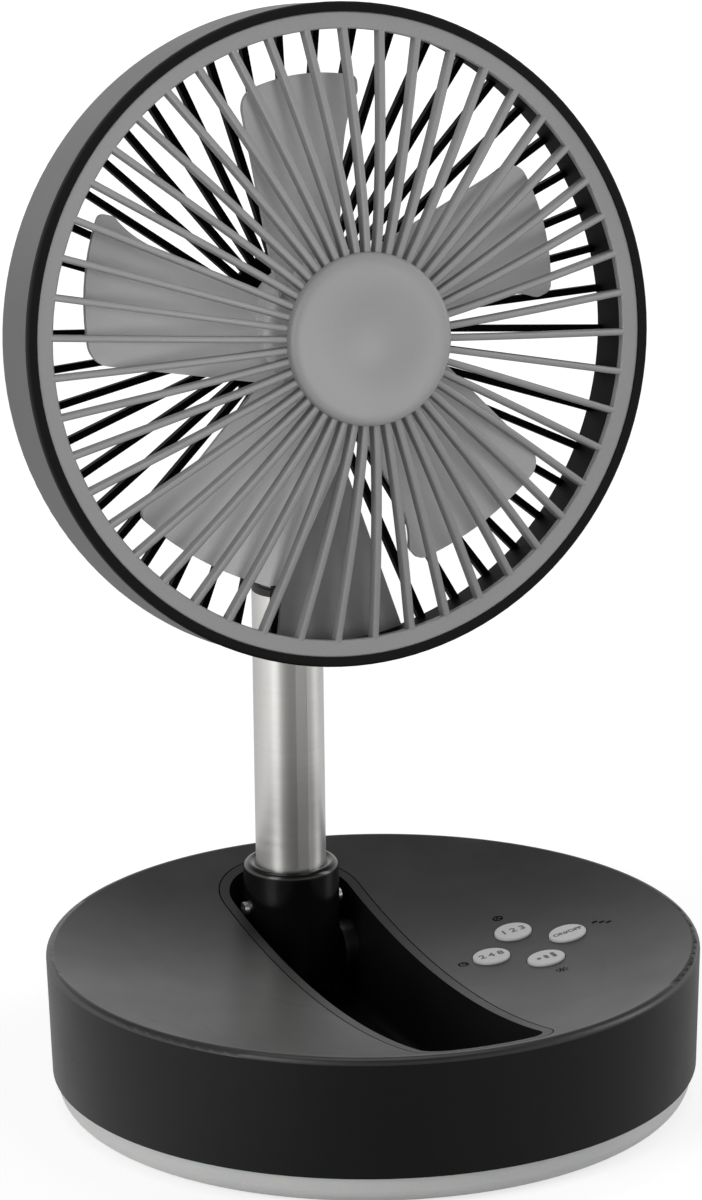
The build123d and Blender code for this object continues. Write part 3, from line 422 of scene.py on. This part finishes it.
def printed_ink(name, value, roughness):
    """Screen print: a thin film with slightly uneven cover."""
    material, net, shader = new_material(name)
    cover = net.noise(net.place(), INK_COVER, 2.0)
    thin, full = grey(value * THIN_INK), grey(value)
    net.feed(shader["Base Color"], net.mix(net.span(cover, *COVER_RANGE), thin, full))
    smooth, dry = roughness - INK_UNEVEN, roughness + INK_UNEVEN
    net.feed(shader["Roughness"], net.span(cover, *NOISE, smooth, dry))
    net.feed(shader["Normal"], net.bump(cover, INK_DEPTH))
    net.feed(shader["Specular IOR Level"], 0.1)
    return material


# ---------------------------------------------------------------- finish of every node

KEYS = ("speed", "power", "timer", "light")


def base_finishes():
    """Base and buttons."""
    board = circuit_board()
    key = moulded_plastic("key_grey", 0.62, 0.40, grain=0.7, tone=0.05, depth=0.012)
    cover = moulded_plastic("cover_black", 0.0165, 0.36, grain=0.9, tone=0.10, dust=0.025)
    wall = moulded_plastic("wall_black", 0.0055, 0.36, grain=0.9, tone=0.10, specular=0.24)
    trough = moulded_plastic("trough_black", 0.0035, 0.40, grain=0.5, tone=0.05, dust=0.01)
    bottom = moulded_plastic("bottom_black", 0.016, 0.55, grain=1.6, size=0.5, depth=0.04)
    finishes = {
        "top_cover": cover,
        "side_wall": wall,
        "pole_trough": trough,
        "light_ring": frosted_ring(),
        "light_board": board,
        "light_leds": lamp_material(),
        "bottom_plate": bottom,
        "rubber_feet": rubber("foot_rubber", 0.016),
        "battery_cells": cell_sleeve(),
        "battery_cradle": moulded_plastic("cradle_black", 0.03, 0.5, grain=1.2),
        "control_board": board,
        "tact_switches": moulded_plastic("switch_black", 0.02, 0.35, grain=0.4),
        "charging_port": plated_metal("inlet_plating", (0.70, 0.70, 0.71, 1.0), 0.25),
        "pole_pin": moulded_plastic("pin_black", 0.020, 0.30, grain=0.3),
        "pivot_washers": moulded_plastic("washer_black", 0.020, 0.35, grain=0.3),
    }
    return finishes | {f"button_{name}": key for name in KEYS}


def pole_finishes():
    """Pole, its tubes and the tilt hinge."""
    steel = ground_steel("pole_steel", STEEL, 0.34, LINES_ROUND_TUBE)
    bush = moulded_plastic("bush_black", 0.018, 0.45, grain=0.5)
    smooth = {"grain": 0.12, "tone": 0.05, "dust": 0.012, "depth": 0.006}
    gloss = moulded_plastic("socket_gloss", 0.0045, 0.16, **smooth)
    finishes = {
        "pole_socket": gloss,
        "collar_ring": gloss,
        "outer_tube": steel,
        "tilt_barrel": moulded_plastic("barrel_grey", 0.05, 0.38, grain=0.5),
    }
    for i in (1, 2, 3):
        finishes[f"inner_tube_{i}"] = steel
        finishes[f"slide_bush_{i}"] = bush
        finishes[f"top_bush_{i - 1}"] = bush
    return finishes


def head_finishes():
    """Head, motor and rotor."""
    rear = moulded_plastic("rear_black", 0.0030, 0.58, grain=0.8, dust=0.004, specular=0.06)
    satin = {"grain": 0.8, "tone": 0.06, "depth": 0.014}
    soft = {"grain": 0.5, "tone": 0.04, "dust": 0.02, "depth": 0.008}
    blade = {"grain": 0.5, "tone": 0.05, "dust": 0.03, "depth": 0.010}
    return {
        "rear_shell": moulded_plastic("shell_grey", 0.128, 0.44, dust=0.02, specular=0.4, **satin),
        "rubber_ring": rubber("seal_rubber", 0.004),
        "front_grille": moulded_plastic("grille_grey", 0.245, 0.44, dust=0.03, **satin),
        "dome_cap": moulded_plastic("cap_grey", 0.215, 0.50, **soft),
        "rear_grille": rear,
        "rear_cap": rear,
        "spine_panel": moulded_plastic("spine_grey", 0.20, 0.42, grain=0.8, dust=0.02),
        "fan_rotor": moulded_plastic("rotor_grey", 0.540, 0.40, **blade),
        "motor_can": plated_metal("motor_plating", (0.55, 0.55, 0.56, 1.0), 0.32),
        "motor_magnets": moulded_plastic("sintered_magnet", 0.05, 0.6, grain=2.0, size=0.6),
        "motor_armature": wound_copper(),
    }


def shared_finishes():
    """Screws, turned steel and the hinge pieces."""
    pin = ground_steel("turned_steel", PIN_STEEL, 0.30, LINES_ALONG_PIN)
    plated = plated_metal("plated_screw", grey(0.90), 0.34)
    hinge = moulded_plastic("hinge_black", 0.020, 0.42, grain=0.8)
    finishes = dict.fromkeys(("tilt_pin", "motor_bearings", "motor_shaft"), pin)
    screws = ("base_screws", "socket_screws", "motor_screws", "bracket_screws")
    finishes |= dict.fromkeys(screws, plated)
    return finishes | dict.fromkeys(("neck_clevis", "head_bracket"), hinge)


def dress_nodes():
    """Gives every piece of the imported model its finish."""
    finishes = base_finishes() | pole_finishes() | head_finishes() | shared_finishes()
    for name, node in NODES.items():
        node.data.materials.clear()
        node.data.materials.append(finishes[name])


# ---------------------------------------------------------------- printed marks

PRINT = 0.03 * MM  # how thick a print is
KEY_TEXT = {
    "speed": ("1 2 3", 3.9 * MM),
    "power": ("ON/OFF", 2.6 * MM),
    "timer": ("2 4 8", 3.9 * MM),
}
INK_SPREAD = 0.14 * MM  # that a printed line grows by
KEY_BARS = (1.6 * MM, 2.9 * MM, 4.2 * MM)
BAR_WIDTH = 1.3 * MM
BAR_PITCH = 2.4 * MM
SIGN_REACH = {"speed": 12.0 * MM, "power": 11.5 * MM, "timer": 9.4 * MM, "light": 12.0 * MM}
SIGN_RADIUS = 1.7 * MM
SIGN_LINE = 0.62 * MM
DOT_PITCH = 2.3 * MM
DOT = (3 * SIGN_LINE, 2 * SIGN_LINE)  # length and width
DOT_ROW = (-pi / 4, (-1, 0, 1))  # turn of the row, and the places in it
LAMP_RADIUS = 0.5 * SIGN_RADIUS
RAY = (1.6 * SIGN_LINE, 0.8 * SIGN_LINE)
RAY_REACH = 0.95 * SIGN_RADIUS
RAY_COUNT = 8
HAND = (0.7 * SIGN_RADIUS, SIGN_LINE)
HAND_REACH = 0.4 * SIGN_RADIUS
CLOCK_HANDS = (pi / 2, 0.0)  # where they point
BLADES = (pi / 2, pi * 7 / 6, pi * 11 / 6)
CORNER_SHARE = 0.35  # of a bar's narrow side
OVER_ALL = 1.0  # a height over everything


def start_piece(add, **where):
    """Adds one primitive with nothing else selected, its place put in its mesh."""
    bpy.ops.object.select_all(action="DESELECT")
    add(**where)
    bpy.ops.object.transform_apply(location=True, rotation=True, scale=True)
    return bpy.context.object


def raise_print():
    """In edit mode: gives a flat sheet the thickness of a print."""
    bpy.ops.mesh.select_all(action="SELECT")
    bpy.ops.mesh.extrude_region_move(TRANSFORM_OT_translate={"value": (0.0, 0.0, PRINT)})
    bpy.ops.mesh.select_all(action="SELECT")
    bpy.ops.mesh.normals_make_consistent(inside=False)
    bpy.ops.object.mode_set(mode="OBJECT")


def bar(length, width, centre, turn=0.0):
    """A printed bar with round corners."""
    where = {"size": 1.0, "location": (*centre, 0.0), "rotation": (0.0, 0.0, turn)}
    piece = start_piece(bpy.ops.mesh.primitive_plane_add, **where)
    middle = Vector(centre)
    along = Vector((cos(turn), sin(turn)))
    across = Vector((-along.y, along.x))
    for vertex in piece.data.vertices:
        away = Vector(vertex.co[:2]) - middle
        side = away.x * along.x + away.y * along.y
        rise = away.x * across.x + away.y * across.y
        place = middle + along * (side * length) + across * (rise * width)
        vertex.co = (*place, 0.0)
    bpy.ops.object.mode_set(mode="EDIT")
    bpy.ops.mesh.select_all(action="SELECT")
    bpy.ops.mesh.bevel(offset=CORNER_SHARE * min(length, width), segments=3, affect="VERTICES")
    raise_print()
    return piece


def ring(radius, line, centre):
    """A printed ring."""
    where = {"vertices": 32, "radius": radius, "fill_type": "NGON", "location": (*centre, 0.0)}
    piece = start_piece(bpy.ops.mesh.primitive_circle_add, **where)
    bpy.ops.object.mode_set(mode="EDIT")
    bpy.ops.mesh.select_all(action="SELECT")
    bpy.ops.mesh.inset(thickness=line)
    bpy.ops.mesh.delete(type="FACE")
    raise_print()
    return piece


def words(text, size, centre):
    """Printed characters, centred on a point."""
    bpy.ops.object.select_all(action="DESELECT")
    bpy.ops.object.text_add(location=(*centre, PRINT / 2))
    piece = bpy.context.object
    piece.data.body = text
    piece.data.size = size
    piece.data.align_x = "CENTER"
    piece.data.align_y = "CENTER"
    piece.data.extrude = PRINT / 2
    piece.data.offset = INK_SPREAD
    piece.data.resolution_u = 4
    bpy.ops.object.convert(target="MESH")
    bpy.ops.object.transform_apply(location=True, rotation=True, scale=True)
    return bpy.context.object


def joined(pieces):
    """One object from several."""
    bpy.ops.object.select_all(action="DESELECT")
    for piece in pieces:
        piece.select_set(True)
    bpy.context.view_layer.objects.active = pieces[0]
    if len(pieces) > 1:
        bpy.ops.object.join()
    return bpy.context.object


def lay_mark(name, pieces, node, body, ink):
    """Joins the parts of a mark, lays them on the top face of a node and lets them ride its body."""
    mark = joined(pieces)
    mark.name = name
    corners = [node.matrix_world @ vertex.co for vertex in node.data.vertices]
    tree = BVHTree.FromPolygons(corners, [face.vertices for face in node.data.polygons])
    for vertex in mark.data.vertices:
        above = Vector((vertex.co.x, vertex.co.y, OVER_ALL))
        hit = tree.ray_cast(above, Vector((0.0, 0.0, -1.0)))[0]
        vertex.co.z += hit.z - PRINT / 4
    mark.data.materials.clear()
    mark.data.materials.append(ink)
    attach(mark, body)


def polar(centre, radius, turn):
    return (centre[0] + radius * cos(turn), centre[1] + radius * sin(turn))


def sign_parts(key, centre):
    """Small signs by the keys: three blades, three dots, a clock and a lamp with rays."""
    if key == "power":
        turn, places = DOT_ROW
        return [bar(*DOT, polar(centre, i * DOT_PITCH, turn)) for i in places]
    if key == "light":
        lamp = ring(LAMP_RADIUS, SIGN_LINE, centre)
        turns = [i * 2 * pi / RAY_COUNT for i in range(RAY_COUNT)]
        return [lamp] + [bar(*RAY, polar(centre, RAY_REACH, turn), turn) for turn in turns]
    turns = CLOCK_HANDS if key == "timer" else BLADES
    rim = ring(SIGN_RADIUS, SIGN_LINE, centre)
    return [rim] + [bar(*HAND, polar(centre, HAND_REACH, turn), turn) for turn in turns]


def key_parts(key, centre):
    """What is printed on a key: characters, or bars of growing height."""
    if key in KEY_TEXT:
        return [words(*KEY_TEXT[key], centre)]
    places = [(centre[0] + (i - 1) * BAR_PITCH, centre[1]) for i in range(len(KEY_BARS))]
    return [bar(BAR_WIDTH, tall, place) for tall, place in zip(KEY_BARS, places)]


def add_marks():
    """Prints on the keys and beside them."""
    key_ink = printed_ink("key_print", 0.20, 0.6)
    sign_ink = printed_ink("sign_print", 0.002, 0.8)
    centres = {}
    for key in KEYS:
        low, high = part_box(f"button_{key}")
        centres[key] = ((low[0] + high[0]) / 2, (low[1] + high[1]) / 2)
    middle = [sum(centre[i] for centre in centres.values()) / len(centres) for i in (0, 1)]
    for key, centre in centres.items():
        on_key = key_parts(key, centre)
        lay_mark(f"print_{key}", on_key, NODES[f"button_{key}"], f"{key}_key", key_ink)
        outward = Vector((centre[0] - middle[0], centre[1] - middle[1])).normalized()
        place = tuple(centre[i] + outward[i] * SIGN_REACH[key] for i in (0, 1))
        beside = sign_parts(key, place)
        lay_mark(f"sign_{key}", beside, NODES["top_cover"], "base", sign_ink)


# ---------------------------------------------------------------- stage and light

FLOOR_SIZE = 30.0
PAPER = (grey(0.78), grey(0.80))
PAPER_FIBRE = 180.0
FLOOR_SHADOW = 0.42  # how dark the floor's shadow can get
FLOOR_GLOW = 0.72  # of the floor by the object, on top of what lamps give it
FLOOR_FADE = (0.4, 2.0)  # metres from the object, over which the floor turns plain white
WORLD_FILL = 0.30
MIRROR_HEIGHTS = (0.30, 0.62)  # where the studio's bright sides end, as the height of a direction
MIRROR_TOP = 0.12
MIRROR_GAIN = 1.8  # of the sky over the floor, in mirrors
# What mirrors see of the studio: degrees to the right of the viewer, and how bright it is there.
STUDIO_SIDES = (
    (-180.0, 0.52), (-115.0, 0.58), (-62.0, 0.92), (-40.0, 0.80), (-12.0, 0.34),
    (14.0, 0.32), (45.0, 0.52), (80.0, 0.50), (140.0, 0.56), (180.0, 0.52),
)
MIDDLE = (0.0, 0.0, 0.17)
HEAD_MIDDLE = (0.0, 0.0, 0.24)
HEAD_FRONT = ("front_grille", "fan_rotor", "spine_panel", "rear_shell")
# Name, place, what it looks at, size, watts, and the only nodes it lights, if not all.
LAMPS = (
    ("left_box", (-1.6, -0.7, 0.9), MIDDLE, (0.8, 1.4), 12.0, ()),
    ("right_box", (1.6, -0.4, 0.8), MIDDLE, (0.6, 1.4), 8.0, ()),
    ("top_box", (0.0, 0.2, 1.9), MIDDLE, (1.4, 1.4), 10.0, ()),
    ("front_box", (-0.30, -1.80, 0.62), HEAD_MIDDLE, (0.45, 0.45), 12.0, HEAD_FRONT),
    ("cap_box", (0.36, -1.95, 0.19), HEAD_MIDDLE, (0.6, 0.6), 26.0, ("dome_cap",)),
)


def studio_glow(net, direction):
    """How bright the studio's sides are in a direction, as mirrors see them."""
    rightward = net.vector_math("DOT_PRODUCT", direction, TO_RIGHT)["Value"]
    forward = net.vector_math("DOT_PRODUCT", direction, TO_VIEWER)["Value"]
    turn = net.span(net.math("ARCTAN2", rightward, forward), -pi, pi)
    ramp = net.add("ShaderNodeValToRGB", {"Fac": turn})
    ramp.color_ramp.interpolation = "B_SPLINE"
    stops = ramp.color_ramp.elements
    while len(stops) < len(STUDIO_SIDES):
        stops.new(0.5)
    for stop, (degrees, bright) in zip(stops, STUDIO_SIDES):
        stop.position = degrees / 360.0 + 0.5
        stop.color = grey(bright)
    return ramp.outputs["Color"]


def add_floor():
    """Pale floor: white to the camera but for the object's shadow, the studio's glow to mirrors."""
    bpy.ops.mesh.primitive_plane_add(size=FLOOR_SIZE, location=(0.0, 0.0, 0.0))
    floor = bpy.context.object
    floor.name = "floor"
    material, net, paper = new_material("floor_paper")
    net.feed(paper["Roughness"], 0.9)
    net.feed(paper["Specular IOR Level"], 0.1)
    fibre = net.noise(net.place(), PAPER_FIBRE, 3.0)
    net.feed(paper["Base Color"], net.mix(net.span(fibre, *NOISE), *PAPER))
    nodes = material.node_tree.nodes
    path = net.add("ShaderNodeLightPath").outputs
    shadowed = net.add("ShaderNodeBsdfDiffuse", {"Color": grey(FLOOR_SHADOW)}).outputs[0]
    away = net.vector_math("LENGTH", net.place())["Value"]
    glow = net.span(away, *FLOOR_FADE, FLOOR_GLOW, 1.0)
    white = net.add("ShaderNodeEmission", {"Strength": glow}).outputs[0]
    to_camera = net.add("ShaderNodeAddShader", {0: shadowed, 1: white}).outputs[0]
    sides = studio_glow(net, net.place())
    mirrored = net.add("ShaderNodeEmission", {"Color": sides}).outputs[0]
    by_mirror = net.math("MAXIMUM", path["Is Glossy Ray"], path["Is Transmission Ray"])
    lit = nodes["Principled BSDF"].outputs[0]
    others = net.add("ShaderNodeMixShader", {0: by_mirror, 1: lit, 2: mirrored}).outputs[0]
    seen = {0: path["Is Camera Ray"], 1: others, 2: to_camera}
    mixed = net.add("ShaderNodeMixShader", seen).outputs[0]
    net.feed(nodes["Material Output"].inputs["Surface"], mixed)
    floor.data.materials.append(material)


def add_world():
    """White to the camera, a grey fill, and to mirrors the studio's glow up to a height."""
    world = bpy.data.worlds.new("studio")
    bpy.context.scene.world = world
    world.use_nodes = True
    net = Net(world.node_tree)
    background = world.node_tree.nodes["Background"].inputs
    path = net.add("ShaderNodeLightPath").outputs
    looked = net.add("ShaderNodeTexCoord").outputs["Generated"]
    height = net.add("ShaderNodeSeparateXYZ", {"Vector": looked}).outputs["Z"]
    low = net.span(height, *MIRROR_HEIGHTS, 1.0, MIRROR_TOP)
    sides = net.math("MULTIPLY", low, studio_glow(net, looked))
    mirrored = net.math("MULTIPLY", sides, MIRROR_GAIN)
    more = net.math("MULTIPLY", path["Is Glossy Ray"], net.math("SUBTRACT", mirrored, WORLD_FILL))
    seen = net.math("MAXIMUM", path["Is Camera Ray"], path["Is Transmission Ray"])
    level = net.math("MAXIMUM", net.math("ADD", more, WORLD_FILL), seen)
    net.feed(background["Strength"], level)
    net.feed(background["Color"], grey(1.0))


def add_softbox(name, place, aim, size, watts, only):
    """A large soft lamp that looks at a point, and may be kept to a few nodes."""
    data = bpy.data.lights.new(name, "AREA")
    data.shape = "RECTANGLE"
    data.size, data.size_y = size
    data.energy = watts
    lamp = bpy.data.objects.new(name, data)
    lamp.location = place
    lamp.rotation_euler = (Vector(aim) - Vector(place)).to_track_quat("-Z", "Y").to_euler()
    bpy.context.scene.collection.objects.link(lamp)
    if only:
        lit = bpy.data.collections.new(f"{name}_lit")
        for node in only:
            lit.objects.link(NODES[node])
        lamp.light_linking.receiver_collection = lit


# ---------------------------------------------------------------- the scene

add_camera()
dress_nodes()
add_marks()
add_floor()
add_world()
for lamp in LAMPS:
    add_softbox(*lamp)
bpy.context.scene.view_settings.view_transform = "Standard"
